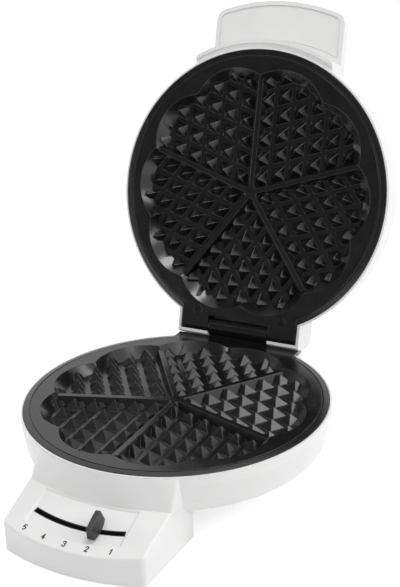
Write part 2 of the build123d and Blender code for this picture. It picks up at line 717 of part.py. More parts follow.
with BuildPart() as base_shell:
    add(bowl(0, BASE_DEPTH, BASE_ROUND, 0, -LIP_DROP))
    add(control_block(0, 0, SKIRT_Z))
    add(neck.part)
    with BuildSketch(Plane.XY.offset(-BASE_DEPTH)) as seat:
        with Locations((0, SEAT_FRONT_Y)):
            Rectangle(2 * SEAT_HALF, SEAT_BACK_Y - SEAT_FRONT_Y, align=(Align.CENTER, Align.MIN))
        fillet(seat.vertices().group_by(Axis.Y)[-1], SEAT_CORNER_R)
    extrude(amount=BASE_DEPTH + SEAT_TOP)
    with BuildSketch(Plane.XY.offset(-BASE_DEPTH)):
        with Locations(*leg_places):
            Circle(LEG_R)
    extrude(amount=SKIRT_Z + BASE_DEPTH, taper=LEG_TAPER)
    add(bowl(WALL, BASE_DEPTH, BASE_ROUND, 0, EXTRA), mode=Mode.SUBTRACT)
    add(holes([(0, 0)], LEDGE_Z, -LEDGE_Z + EXTRA, PLATE_R + PLATE_GAP), mode=Mode.SUBTRACT)
    add(box_between(SEAT_HALF, WING_ROOT_Y, SEAT_BACK_Y + EXTRA, SEAT_TOP, EXTRA), mode=Mode.SUBTRACT)
    add(control_block(WALL, BLOCK_TOP_WALL, SKIRT_Z - EXTRA), mode=Mode.SUBTRACT)
    with BuildSketch(Plane.XY.offset(base_floor)) as seat_hollow:
        with Locations((0, SEAT_FRONT_Y)):
            Rectangle(
                2 * (SEAT_HALF - WALL), SEAT_BACK_Y - WALL - SEAT_FRONT_Y, align=(Align.CENTER, Align.MIN)
            )
        fillet(seat_hollow.vertices().group_by(Axis.Y)[-1], SEAT_CORNER_R - WALL)
    extrude(amount=SEAT_TOP - WALL - base_floor, mode=Mode.SUBTRACT)
    with BuildSketch(Plane.XY.offset(base_floor + EXTRA)):
        with Locations(*leg_places):
            Circle(LEG_R - WALL)
    extrude(amount=SKIRT_Z + WALL - base_floor - EXTRA, taper=LEG_TAPER, mode=Mode.SUBTRACT)
    add(holes(leg_places, SKIRT_Z - EXTRA, WALL + 2 * EXTRA, FOOT_PLUG_R + THREAD_FIT), mode=Mode.SUBTRACT)
    add(holes(boss_places, -BASE_DEPTH, post_h, SHELL_POST_R))
    add(holes(boss_places, -BASE_DEPTH - EXTRA, post_h + 2 * EXTRA, clear_r), mode=Mode.SUBTRACT)
    seat_depth = PLATE_SCREW_SEAT + BASE_DEPTH
    add(holes(boss_places, -BASE_DEPTH - EXTRA, seat_depth + EXTRA, head_clear_r), mode=Mode.SUBTRACT)
    cover_top = SKIRT_Z + COVER_T
    for x, y in post_places:
        post_top = min(KNEE_Z, slope_z(y + POST_R)) - BLOCK_TOP_WALL + WALL / 2
        add(holes([(x, y)], cover_top, post_top - cover_top, POST_R))
    add(holes(post_places, cover_top - EXTRA, 2 * POST_R + 2 * EXTRA, thread_r), mode=Mode.SUBTRACT)
    add(holes(cord_posts, base_floor - WALL / 2, GLAND_Z - base_floor + WALL / 2, CORD_POST_R))
    add(holes(cord_posts, base_floor, GLAND_Z - base_floor + EXTRA, small_thread_r), mode=Mode.SUBTRACT)
    with BuildSketch(Plane.XZ.offset(-SEAT_BACK_Y - EXTRA)):
        with Locations((0, GLAND_Z)):
            Circle(GLAND_R + THREAD_FIT)
    extrude(amount=WALL + 2 * EXTRA, mode=Mode.SUBTRACT)
    add(scoop.part, mode=Mode.SUBTRACT)
    with BuildSketch(Plane.XY.offset(LEVER_LOW_Z)):
        add(slot_plan(SLOT_W, SLOT_HALF_ANGLE))
    extrude(amount=-LEVER_LOW_Z, mode=Mode.SUBTRACT)

with BuildPart() as scale_numbers:
    for number in range(1, 6):
        x, y = around(DIGIT_R, SCALE_CENTRE + (3 - number) * POSITION_STEP)
        with BuildSketch(Plane(origin=(x, y, slope_z(y)), x_dir=(1, 0, 0), z_dir=slope_normal)):
            add(digit(number))
        extrude(amount=DIGIT_T)


def under_slope(high, low):
    """A slab between two depths under the control block's slope."""
    front, back = -BLOCK_FRONT_R, BLOCK_REAR_Y
    return yz_prism(
        BLOCK_HALF, (front, slope_z(front) - high), (back, slope_z(back) - high),
        (back, slope_z(back) - low), (front, slope_z(front) - low),
    )


scoop_drop = SCOOP_DEPTH / slope_up[1]
with BuildPart() as slot_liner:
    lip_angle = SLOT_HALF_ANGLE - math.degrees(THREAD_FIT / SLOT_R)
    slit_angle = SLOT_HALF_ANGLE - math.degrees((THREAD_FIT + LINER_WALL) / SLOT_R)
    with BuildSketch(Plane.XY.offset(LEVER_LOW_Z)):
        add(slot_plan(LINER_W, SLOT_HALF_ANGLE + LINER_T))
    extrude(amount=KNEE_Z - LEVER_LOW_Z)
    add(under_slope(BLOCK_TOP_WALL, BLOCK_TOP_WALL + LINER_T), mode=Mode.INTERSECT)
    with BuildPart() as lip:
        with BuildSketch(Plane.XY.offset(LEVER_LOW_Z)):
            add(slot_plan(SLOT_W - 2 * THREAD_FIT, lip_angle))
        extrude(amount=KNEE_Z - LEVER_LOW_Z)
        add(under_slope(scoop_drop, BLOCK_TOP_WALL + LINER_T), mode=Mode.INTERSECT)
    add(lip.part)
    with BuildSketch(Plane.XY.offset(LEVER_LOW_Z)):
        add(slot_plan(SLOT_W - 2 * THREAD_FIT - 2 * LINER_WALL, slit_angle))
    extrude(amount=KNEE_Z - LEVER_LOW_Z, mode=Mode.SUBTRACT)

cover_inset = WALL + COVER_GAP
front_feet_places = [(-FRONT_FOOT_X, FRONT_FOOT_Y), (FRONT_FOOT_X, FRONT_FOOT_Y)]
with BuildPart() as block_cover:
    with BuildSketch(Plane.XY.offset(SKIRT_Z)):
        add(fan(
            BLOCK_HALF - cover_inset, BLOCK_FRONT_R - cover_inset, BLOCK_REAR_Y - cover_inset,
            BLOCK_CORNER_R - cover_inset, BLOCK_SPREAD,
        ))
        with Locations(*post_places):
            Circle(clear_r, mode=Mode.SUBTRACT)
        with Locations(*front_feet_places):
            Circle(FOOT_PLUG_R + THREAD_FIT, mode=Mode.SUBTRACT)
    extrude(amount=COVER_T)
    add(holes(post_places, SKIRT_Z - EXTRA, EXTRA + COVER_SCREW_HEAD_H, head_clear_r), mode=Mode.SUBTRACT)

block_cover_screws = screws(
    post_places, SKIRT_Z + COVER_SCREW_HEAD_H, 2 * POST_R + COVER_T, SCREW_R, SCREW_HEAD_R, COVER_SCREW_HEAD_H
)
front_feet = foot_pair(FRONT_FOOT_X, FRONT_FOOT_Y)
rear_feet = foot_pair(LEG_X, LEG_Y)
plate_screw_l = PLATE_UNDER - PLATE_SCREW_SEAT - WALL / 2
lower_plate_screws = screws(
    boss_places, PLATE_SCREW_SEAT, plate_screw_l, SCREW_R, SCREW_HEAD_R, SCREW_HEAD_H
)

# Base: heater parts and regulator

lower_element = element()
lower_element_clamps = element_clamps()
lower_element_screws = clamp_screws()
lower_reflector = reflector()

with BuildPart() as thermostat:
    with BuildSketch(Plane.XY.offset(bracket_z)):
        Circle(THERMOSTAT_R)
    extrude(amount=THERMOSTAT_H)
    fillet(thermostat.edges(), THERMOSTAT_H / 9)
    with BuildSketch(Plane.XY.offset(bracket_z)):
        Circle(SPINDLE_R + SPINDLE_CLEAR)
    extrude(amount=SPINDLE_TOP + SPINDLE_CLEAR * 4 - bracket_z, mode=Mode.SUBTRACT)

with BuildPart() as thermostat_bracket:
    with BuildSketch(Plane.XY.offset(bracket_z - BRACKET_T)):
        SlotCenterToCenter(2 * BRACKET_X, BRACKET_W)
        Circle(SPINDLE_R + THERMOSTAT_H / 9, mode=Mode.SUBTRACT)
        with Locations(*bracket_places):
            Circle(CLAMP_SCREW_R + THREAD_FIT, mode=Mode.SUBTRACT)
    extrude(amount=BRACKET_T)
thermostat_bracket_screws = screws(
    bracket_places, bracket_z - BRACKET_T, THERMOSTAT_H, CLAMP_SCREW_R, 2 * CLAMP_SCREW_R, CLAMP_SCREW_R
)

fuse_z = PLATE_UNDER - ELEMENT_GAP - FUSE_R
fuse_plane = Plane.XZ.offset(-FUSE_Y)
with BuildPart() as thermal_fuse:
    with BuildSketch(fuse_plane):
        with Locations((FUSE_X, fuse_z)):
            Circle(FUSE_R)
    extrude(amount=FUSE_L / 2, both=True)
    with BuildSketch(fuse_plane):
        with Locations((FUSE_X, fuse_z)):
            Circle(FUSE_R / 4)
    extrude(amount=FUSE_L, both=True)

with BuildPart() as fuse_clip:
    clip_r = FUSE_R + ELEMENT_GAP
    with BuildSketch(fuse_plane):
        with Locations((FUSE_X, fuse_z)):
            Circle(clip_r + BRACKET_T)
        with Locations((FUSE_X, (fuse_z + PLATE_UNDER) / 2)):
            Rectangle(2 * (clip_r + BRACKET_T), PLATE_UNDER - fuse_z)
        with Locations((FUSE_X, PLATE_UNDER - BRACKET_T / 2)):
            Rectangle(4 * clip_r + 2 * BRACKET_T, BRACKET_T)
        with Locations((FUSE_X, fuse_z)):
            Circle(clip_r, mode=Mode.SUBTRACT)
        with Locations((FUSE_X, (fuse_z + PLATE_UNDER) / 2 + EXTRA / 2)):
            Rectangle(2 * clip_r, PLATE_UNDER - fuse_z + EXTRA, mode=Mode.SUBTRACT)
        with Locations((FUSE_X, PLATE_UNDER + 2 * EXTRA)):
            Rectangle(BRACKET_X, 4 * EXTRA, mode=Mode.SUBTRACT)
    extrude(amount=FUSE_L / 4, both=True)

with BuildPart() as terminal_block:
    with Locations((0, TERMINAL_Y, cover_top)):
        Box(TERMINAL_L, TERMINAL_W, TERMINAL_H, align=(Align.CENTER, Align.CENTER, Align.MIN))
    chamfer(terminal_block.faces().sort_by(Axis.Z)[-1].edges(), 1)
    with Locations(Plane.XY.offset(cover_top + TERMINAL_H)):
        with Locations((0, TERMINAL_Y)):
            with GridLocations(TERMINAL_L / 3, TERMINAL_W / 2, 3, 2):
                Hole(CLAMP_SCREW_R, TERMINAL_H / 2)

# Base: mains inlet

gland_plane = Plane.XZ.offset(-SEAT_BACK_Y)
with BuildPart() as cord_gland:
    with BuildSketch(gland_plane):
        with Locations((0, GLAND_Z)):
            Circle(GLAND_R)
    extrude(amount=-GLAND_L, taper=math.degrees(math.atan2(GLAND_R - GLAND_TIP_R, GLAND_L)))
    with BuildSketch(gland_plane):
        with Locations((0, GLAND_Z)):
            Circle(GLAND_R)
    extrude(amount=WALL)
    with BuildSketch(gland_plane.offset(WALL)):
        with Locations((0, GLAND_Z)):
            Circle(GLAND_FLANGE_R)
    extrude(amount=GLAND_FLANGE_T)
    with BuildSketch(gland_plane):
        with Locations((0, GLAND_Z)):
            Circle(GLAND_FLANGE_R)
    extrude(amount=-GLAND_FLANGE_T)
    with BuildSketch(gland_plane.offset(WALL + GLAND_FLANGE_T)):
        with Locations((0, GLAND_Z)):
            Circle(CORD_R)
    extrude(amount=-WALL - GLAND_FLANGE_T - GLAND_L, mode=Mode.SUBTRACT)

with BuildPart() as cord_clamp:
    with Locations((0, CORD_CLAMP_Y, GLAND_Z)):
        Box(2 * CORD_CLAMP_HALF, CORD_CLAMP_W, CORD_CLAMP_T, align=(Align.CENTER, Align.CENTER, Align.MIN))
    with Locations(Plane.XY.offset(GLAND_Z + CORD_CLAMP_T)):
        with Locations(*cord_posts):
            Hole(CLAMP_SCREW_R + THREAD_FIT)
    with BuildSketch(Plane.XZ.offset(-CORD_CLAMP_Y)):
        with Locations((0, GLAND_Z)):
            Circle(CORD_R)
    extrude(amount=CORD_CLAMP_W, both=True, mode=Mode.SUBTRACT)

cord_clamp_screws = screws(
    cord_posts, GLAND_Z + CORD_CLAMP_T, -CORD_CLAMP_T - 2 * CORD_POST_R + THREAD_FIT, CLAMP_SCREW_R,
    2 * CLAMP_SCREW_R, CLAMP_SCREW_R,
)

# Base: hinge pin

hinge_pin = x_rod(PIN_R, PIN_HALF, HINGE_Y, HINGE_Z)
with BuildPart() as pin_rings:
    with BuildSketch(Plane.YZ.offset(PIN_HALF)):
        with Locations((HINGE_Y, HINGE_Z)):
            Circle(PIN_RING_R)
            Circle(PIN_R, mode=Mode.SUBTRACT)
    extrude(amount=-PIN_RING_T)
    mirror(about=Plane.YZ)

# Slider, made straight to the front and then turned to its position

with BuildPart() as spindle:
    nut_bottom = LEVER_Z - LEVER_T - NUT_H
    with BuildSketch(Plane.XY.offset(nut_bottom)):
        Circle(SPINDLE_R)
    extrude(amount=SPINDLE_TOP - nut_bottom)

with BuildPart() as lever:
    tail_y = LEVER_TAIL
    tip_y = -SLOT_R - 2 * STEM_T
    with BuildSketch(Plane.YZ):
        with BuildLine():
            Polyline(
                (tail_y, LEVER_Z), (-LEVER_STEP_IN_R, LEVER_Z), (-LEVER_STEP_OUT_R, LEVER_LOW_Z),
                (tip_y, LEVER_LOW_Z), (tip_y, LEVER_LOW_Z - LEVER_T),
                (-LEVER_STEP_OUT_R - LEVER_T / 2, LEVER_LOW_Z - LEVER_T),
                (-LEVER_STEP_IN_R - LEVER_T / 2, LEVER_Z - LEVER_T),
                (tail_y, LEVER_Z - LEVER_T), close=True,
            )
        make_face()
    extrude(amount=LEVER_W / 2, both=True)
    with BuildSketch(Plane.XY.offset(LEVER_Z)):
        Circle(SPINDLE_R + THREAD_FIT)
    extrude(amount=-LEVER_T, mode=Mode.SUBTRACT)
    stem_top = slope_z(-SLOT_R) + KNOB_LIFT + SOCKET_DEPTH
    with BuildSketch(Plane.XY.offset(LEVER_LOW_Z)):
        with Locations((0, -SLOT_R)):
            Rectangle(STEM_W, STEM_T)
    extrude(amount=stem_top - LEVER_LOW_Z)

with BuildPart() as lever_nut:
    with BuildSketch(Plane.XY.offset(nut_bottom)):
        RegularPolygon(NUT_R, 6)
        Circle(SPINDLE_R + THREAD_FIT, mode=Mode.SUBTRACT)
    extrude(amount=NUT_H)


def knob_outline(plane, length, width, end_width):
    """A long fin's outline on this plane, widest at the middle of its bulging flanks."""
    end = end_width / 2
    tip = length / 2
    with BuildSketch(plane) as outline:
        with BuildLine():
            ThreePointArc((-end, tip), (-width / 2, 0), (-end, -tip))
            Line((-end, -tip), (end, -tip))
            ThreePointArc((end, -tip), (width / 2, 0), (end, tip))
            Line((end, tip), (-end, tip))
        make_face()
    return outline.sketch


knob_base = Plane(
    origin=(0, -KNOB_CENTRE_R, slope_z(-KNOB_CENTRE_R) + KNOB_LIFT), x_dir=(1, 0, 0), z_dir=slope_normal
)
knob_foot = knob_outline(knob_base, KNOB_LENGTH, KNOB_W, KNOB_END_W)
knob_head = knob_outline(knob_base.offset(KNOB_H), KNOB_TOP_LENGTH, KNOB_TOP_W, KNOB_TOP_END_W)
with BuildPart() as slider_knob:
    loft([knob_foot, knob_head], ruled=True)
    fillet(slider_knob.faces().sort_by(Axis.Z)[-1].edges(), KNOB_EDGE_R)
    with BuildSketch(Plane.XY.offset(stem_top)):
        with Locations((0, -SLOT_R)):
            Rectangle(STEM_W + THREAD_FIT, STEM_T + THREAD_FIT)
    extrude(amount=-2 * SOCKET_DEPTH - KNOB_LIFT, mode=Mode.SUBTRACT)

# Lid, turned over: baking plate with hinge ears, screw seats and front tongue

rear_screws = [(-REAR_SCREW_X, REAR_SCREW_Y), (REAR_SCREW_X, REAR_SCREW_Y)]

with BuildPart() as ears:
    with BuildSketch(Plane.YZ):
        with BuildLine():
            ThreePointArc((HINGE_Y, 0), (HINGE_Y + EAR_R, -EAR_R), (HINGE_Y, -2 * EAR_R))
            Polyline((HINGE_Y, -2 * EAR_R), (EAR_ROOT_Y, -2 * EAR_R), (EAR_ROOT_Y, 0), (HINGE_Y, 0))
        make_face()
    extrude(amount=EAR_OUT, both=True)
    with BuildSketch(Plane.XY.offset(-2 * EAR_R)) as ear_plan:
        with Locations((0, EAR_ROOT_Y)):
            Rectangle(2 * EAR_OUT, HINGE_Y + EAR_R - EAR_ROOT_Y, align=(Align.CENTER, Align.MIN))
        fillet(ear_plan.vertices().group_by(Axis.Y)[-1], EAR_CORNER_R)
    extrude(amount=2 * EAR_R, mode=Mode.INTERSECT)
    add(box_between(EAR_IN, EAR_ROOT_Y, HINGE_Y + 2 * EAR_R, -3 * EAR_R, EXTRA), mode=Mode.SUBTRACT)

with BuildPart() as upper_plate:
    add(plate_blank)
    add(ears.part)
    add(box_between(EAR_IN, HINGE_Y - EAR_CUT, HINGE_Y, -3 * EAR_R, EXTRA), mode=Mode.SUBTRACT)
    add(x_rod(PIN_R + PIN_CLEAR, EAR_OUT + EXTRA, HINGE_Y, LID_AXIS_Z), mode=Mode.SUBTRACT)
    with BuildSketch(Plane.XY.offset(-TONGUE_DROP)):
        Circle(TONGUE_R)
        with Locations((0, -TONGUE_R)):
            Rectangle(2 * TONGUE_HALF, 2 * (TONGUE_R - BOWL_TOP_R), mode=Mode.INTERSECT)
    extrude(amount=-TONGUE_T)
    add(holes(rear_screws, -3 * EAR_R, 4 * EAR_R, clear_r), mode=Mode.SUBTRACT)
    head_fit_r = SCREW_HEAD_R + THREAD_FIT
    add(holes(rear_screws, -SCREW_HEAD_H, SCREW_HEAD_H + EXTRA, head_fit_r), mode=Mode.SUBTRACT)

# Lid, turned over: white housing with neck, handle and hinge housing

lid_floor = WALL - LID_DEPTH


def handle_plan(inset):
    return fan(HANDLE_HALF - inset, HANDLE_R - inset, HANDLE_ROOT_Y, HANDLE_CORNER_R - inset)


def handle_form(inset, wall, top):
    """The handle's solid between Z = top and its sloping outer face, or with an inset its hollow."""
    with BuildPart() as form:
        with BuildSketch(Plane.XY.offset(top)):
            add(handle_plan(inset))
        extrude(amount=-LID_DEPTH - top - EXTRA)
        tip = -HANDLE_R
        with BuildSketch(Plane.YZ):
            with BuildLine():
                Polyline(
                    (HANDLE_ROOT_Y, HANDLE_ROOT_Z + wall), (tip, HANDLE_TIP_Z + wall),
                    (tip, -TABLE_DROP), (HANDLE_ROOT_Y, -TABLE_DROP), close=True,
                )
            make_face()
        extrude(amount=HANDLE_HALF, both=True, mode=Mode.SUBTRACT)
        if not inset:
            outer_face = form.faces().sort_by(Axis.Z)[0]
            fillet(outer_face.edges().sort_by(Axis.Y)[:-1], HANDLE_EDGE_R)
    return form.part


def hinge_housing(half, barrel_r, drop, depth, round_r):
    """A prism along the hinge: flat behind, a barrel towards the plate's side, rounded at its far edge."""
    with BuildPart() as prism:
        back = HINGE_Y + barrel_r
        barrel_end = HINGE_Y + math.sqrt(barrel_r**2 - (LID_AXIS_Z + drop) ** 2)
        with BuildSketch(Plane.YZ):
            with BuildLine():
                Line((SEAT_FRONT_Y, -depth), (back - round_r, -depth))
                CenterArc((back - round_r, round_r - depth), round_r, -90, 90)
                Line((back, round_r - depth), (back, LID_AXIS_Z))
                ThreePointArc(
                    (back, LID_AXIS_Z),
                    (HINGE_Y + barrel_r * math.cos(0.3), LID_AXIS_Z + barrel_r * math.sin(0.3)),
                    (barrel_end, -drop),
                )
                Polyline((barrel_end, -drop), (SEAT_FRONT_Y, -drop), (SEAT_FRONT_Y, -depth))
            make_face()
        extrude(amount=half, both=True)
    return prism.part


tabs = [(-TAB_X, TAB_Y), (TAB_X, TAB_Y)]
tray_top = HANDLE_Z - TRAY_SINK
tray_floor = tray_top - TRAY_T
tab_top = HANDLE_Z - WALL - TRAY_FIT
tab_floor = tab_top - TAB_T
lens_places = [(-LENS_X, LENS_Y), (LENS_X, LENS_Y)]

with BuildPart() as arch:
    with BuildSketch(Plane.YZ):
        with Locations((HINGE_Y, LID_AXIS_Z)):
            Circle(ARCH_R + ARCH_WALL)
            Circle(ARCH_R, mode=Mode.SUBTRACT)
    extrude(amount=ARCH_HALF, both=True)
    arch_back = HINGE_Y + HOUSING_BACK - HOUSING_WALL / 2
    add(
        box_between(ARCH_HALF, HINGE_Y - 2 * ARCH_R, arch_back, -TABLE_DROP, ARCH_TOP_Z), mode=Mode.INTERSECT
    )
with BuildPart() as lid_shell:
    add(bowl(0, LID_DEPTH, LID_ROUND, LID_CROWN, -LIP_DROP))
    with BuildSketch(Plane.XY.offset(-BRIM_DROP)):
        add(fan(BRIM_HALF, BRIM_R, BLOCK_REAR_Y, BRIM_CORNER_R))
    extrude(amount=HANDLE_Z - WALL + BRIM_DROP, taper=BRIM_DRAFT)
    add(handle_form(0, 0, HANDLE_Z))
    add(hinge_housing(HOUSING_HALF, HOUSING_BACK, HOUSING_DROP, HOUSING_DEPTH, HOUSING_ROUND))
    add(bowl(WALL, LID_DEPTH, LID_ROUND, LID_CROWN, EXTRA), mode=Mode.SUBTRACT)
    add(holes([(0, 0)], LEDGE_Z, -LEDGE_Z + EXTRA, PLATE_R + PLATE_GAP), mode=Mode.SUBTRACT)
    with BuildSketch(Plane.XY.offset(-BRIM_DROP - BRIM_T)):
        add(fan(BRIM_HALF - 2 * WALL, BRIM_R - WALL, BLOCK_REAR_Y, BRIM_CORNER_R))
    extrude(amount=HANDLE_Z - WALL + BRIM_DROP + BRIM_T, taper=BRIM_DRAFT, mode=Mode.SUBTRACT)
    with BuildSketch(Plane.XY.offset(-BRIM_DROP + EXTRA)):
        add(fan(BRIM_HALF + EXTRA, BRIM_R - BRIM_GROOVE_W, BLOCK_REAR_Y, BRIM_CORNER_R))
        Circle(SHELL_R, mode=Mode.SUBTRACT)
    extrude(amount=-EXTRA - BRIM_GROOVE_D, mode=Mode.SUBTRACT)
    with BuildSketch(Plane.XY.offset(-TONGUE_DROP + TONGUE_GAP)):
        Circle(TONGUE_R + TONGUE_GAP)
        with Locations((0, -TONGUE_R)):
            Rectangle(2 * (TONGUE_HALF + TONGUE_GAP), 2 * (TONGUE_R - BOWL_TOP_R), mode=Mode.INTERSECT)
    extrude(amount=-TONGUE_T - 2 * TONGUE_GAP, mode=Mode.SUBTRACT)
    add(handle_form(HANDLE_WALL + TRAY_LEDGE, WALL, HANDLE_Z - WALL), mode=Mode.SUBTRACT)
    with BuildSketch(Plane.XY.offset(HANDLE_Z + EXTRA)):
        add(handle_plan(HANDLE_WALL))
        Circle(TRAY_REAR_R, mode=Mode.SUBTRACT)
    extrude(amount=tray_floor - HANDLE_Z - EXTRA, mode=Mode.SUBTRACT)
    add(
        hinge_housing(
            HOUSING_HALF - HOUSING_WALL, HOUSING_BACK - HOUSING_WALL, HOUSING_DROP + WALL,
            HOUSING_DEPTH - HOUSING_WALL, HOUSING_ROUND - HOUSING_WALL,
        ),
        mode=Mode.SUBTRACT,
    )
    add(x_rod(EAR_HOLLOW_R, HOUSING_HALF - HOUSING_WALL, HINGE_Y, LID_AXIS_Z), mode=Mode.SUBTRACT)
    add(box_between(HOUSING_HALF - HOUSING_WALL, WING_ROOT_Y, HINGE_Y, LID_AXIS_Z, EXTRA), mode=Mode.SUBTRACT)
    add(x_rod(ARCH_R, ARCH_HALF, HINGE_Y, LID_AXIS_Z), mode=Mode.SUBTRACT)
    add(box_between(ARCH_HALF, HINGE_Y, HINGE_Y + 2 * ARCH_R, LID_AXIS_Z, EXTRA), mode=Mode.SUBTRACT)
    add(arch.part)
    add(holes(rear_screws, lid_floor, -2 * EAR_R - lid_floor, POST_R))
    add(holes(rear_screws, lid_floor + POST_R, -lid_floor, thread_r), mode=Mode.SUBTRACT)
    add(holes(tabs, lid_floor - WALL / 2, tab_floor - lid_floor + WALL / 2, POST_R))
    add(holes(tabs, lid_floor, 2 * POST_R, thread_r), mode=Mode.SUBTRACT)
    add(holes(lens_places, -TABLE_DROP, TABLE_DROP + lid_floor, LENS_R + THREAD_FIT), mode=Mode.SUBTRACT)

with BuildPart() as handle_tray:
    with BuildSketch(Plane.XY.offset(tray_top)):
        add(handle_plan(HANDLE_WALL + TRAY_FIT))
        Circle(TRAY_REAR_R + TRAY_FIT, mode=Mode.SUBTRACT)
    extrude(amount=-TRAY_T)
    fillet(handle_tray.faces().sort_by(Axis.Z)[-1].edges(), TRAY_EDGE_R)
    with BuildSketch(Plane.XY.offset(tab_top)):
        for x, y in tabs:
            with Locations((x, y - TAB_W / 2)):
                Rectangle(TAB_W, 2 * TAB_W)
            with Locations((x, y)):
                Circle(SCREW_R + SCREW_CLEAR, mode=Mode.SUBTRACT)
    extrude(amount=-TAB_T)
    with BuildSketch(Plane.XY.offset(tray_floor)):
        for x, y in tabs:
            with Locations((x, y - TAB_W / 2)):
                Rectangle(TAB_W, 2 * TAB_W)
        Circle(TRAY_REAR_R + TRAY_FIT, mode=Mode.SUBTRACT)
    extrude(amount=tab_floor - tray_floor)

handle_screws = screws(tabs, tab_top, lid_floor - tab_top, SCREW_R, SCREW_HEAD_R, SCREW_HEAD_H)

with BuildPart() as upper_plate_screws:
    rear_screw_l = -SCREW_HEAD_H - lid_floor - POST_R - EXTRA
    add(screws(rear_screws, -SCREW_HEAD_H, -rear_screw_l, SCREW_R, SCREW_HEAD_R, SCREW_HEAD_H))
    with BuildSketch():
        with Locations(*rear_screws):
            Rectangle(SCREW_HEAD_R * 1.3, SCREW_CLEAR * 2)
            Rectangle(SCREW_CLEAR * 2, SCREW_HEAD_R * 1.3)
    extrude(amount=-SCREW_HEAD_H / 2, mode=Mode.SUBTRACT)

upper_element = element()
upper_element_clamps = element_clamps()
upper_element_screws = clamp_screws()
upper_reflector = reflector()
upper_reflector_screws = screws(
    boss_places, REFLECTOR_Z, PLATE_UNDER - REFLECTOR_Z - WALL, SCREW_R, SCREW_HEAD_R, SCREW_HEAD_H
)

# Lid, turned over: pilot lamps

lens_r = math.hypot(LENS_X, LENS_Y)
crown_r = SHELL_FOOT_R - LID_ROUND
lens_top_z = -LID_DEPTH - LID_CROWN * (1 - (lens_r / crown_r) ** 2)
flange_z = lens_top_z + WALL + TONGUE_GAP


def lens(x):
    """One lamp lens: a short round window with a flange and a neck inside the lid."""
    with BuildPart() as window:
        with BuildSketch(Plane.XY.offset(lens_top_z - LENS_PROUD)):
            with Locations((x, LENS_Y)):
                Circle(LENS_R)
        extrude(amount=flange_z - lens_top_z + LENS_PROUD)
        fillet(window.edges().filter_by(GeomType.CIRCLE).sort_by(Axis.Z)[0], LENS_PROUD - TONGUE_GAP)
        with BuildSketch(Plane.XY.offset(flange_z)):
            with Locations((x, LENS_Y)):
                Circle(LENS_FLANGE_R)
        extrude(amount=LENS_FLANGE_T)
        with BuildSketch(Plane.XY.offset(flange_z + LENS_FLANGE_T)):
            with Locations((x, LENS_Y)):
                Circle(LENS_NECK_R)
        extrude(amount=LENS_NECK)
        with BuildSketch(Plane.XY.offset(lens_top_z)):
            with Locations((x, LENS_Y)):
                Circle(LAMP_R + THREAD_FIT)
        extrude(amount=LAMP_L + LENS_NECK, mode=Mode.SUBTRACT)
    return window.part


red_lens = lens(LENS_X)
green_lens = lens(-LENS_X)
pilot_lamps = holes(lens_places, lens_top_z + THREAD_FIT, LAMP_L, LAMP_R)
with BuildPart() as lens_rings:
    with BuildSketch(Plane.XY.offset(flange_z + LENS_FLANGE_T)):
        with Locations(*lens_places):
            Circle(LENS_RING_R)
            Circle(LENS_NECK_R + THREAD_FIT, mode=Mode.SUBTRACT)
    extrude(amount=LENS_RING_T)

# Placement

base_pieces = {
    "base_shell": base_shell.part, "block_cover": block_cover.part, "block_cover_screws": block_cover_screws,
    "front_feet": front_feet, "rear_feet": rear_feet, "lower_plate": lower_plate.part,
    "lower_plate_screws": lower_plate_screws, "lower_element": lower_element,
    "lower_element_clamps": lower_element_clamps, "lower_element_screws": lower_element_screws,
    "lower_reflector": lower_reflector, "thermostat": thermostat.part,
    "thermostat_bracket": thermostat_bracket.part, "thermostat_bracket_screws": thermostat_bracket_screws,
    "thermal_fuse": thermal_fuse.part, "fuse_clip": fuse_clip.part, "terminal_block": terminal_block.part,
    "slot_liner": slot_liner.part, "cord_gland": cord_gland.part, "cord_clamp": cord_clamp.part,
    "cord_clamp_screws": cord_clamp_screws, "hinge_pin": hinge_pin, "pin_rings": pin_rings.part,
    "scale_numbers": scale_numbers.part,
}
slider_pieces = {
    "spindle": spindle.part, "lever": lever.part, "lever_nut": lever_nut.part,
    "slider_knob": slider_knob.part,
}
lid_pieces = {
    "lid_shell": lid_shell.part, "handle_tray": handle_tray.part, "handle_screws": handle_screws,
    "upper_plate": upper_plate.part, "upper_plate_screws": upper_plate_screws.part,
    "upper_element": upper_element, "upper_element_clamps": upper_element_clamps,
    "upper_element_screws": upper_element_screws, "upper_reflector": upper_reflector,
    "upper_reflector_screws": upper_reflector_screws, "red_lens": red_lens, "green_lens": green_lens,
    "pilot_lamps": pilot_lamps, "lens_rings": lens_rings.part,
}

placed = {}
for name, piece in base_pieces.items():
    placed[name] = piece
for name, piece in slider_pieces.items():
    placed[name] = piece.rotate(Axis.Z, REST_ANGLE)
hinge_axis = Axis((0, HINGE_Y, HINGE_Z), (1, 0, 0))
for name, piece in lid_pieces.items():
    closed = mirror(piece, about=Plane.XY).moved(Location((0, 0, CLOSED_GAP)))
    placed[name] = closed.rotate(hinge_axis, -REST_OPEN)

boxes = [piece.bounding_box() for piece in placed.values()]
centre_y = (min(box.min.Y for box in boxes) + max(box.max.Y for box in boxes)) / 2
print("centre of the depth, Y =", round(centre_y, 4))
print("hinge axis at Y, Z =", round(HINGE_Y - centre_y, 4), round(HINGE_Z + TABLE_DROP, 4))

os.makedirs("parts", exist_ok=True)
for name, piece in placed.items():
    part = piece.moved(Location((0, -centre_y, TABLE_DROP)))
    part.label = name
    export_step(part, f"parts/{name}.step")
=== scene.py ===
import math

import bmesh
import bpy
from mathutils import Matrix, Vector

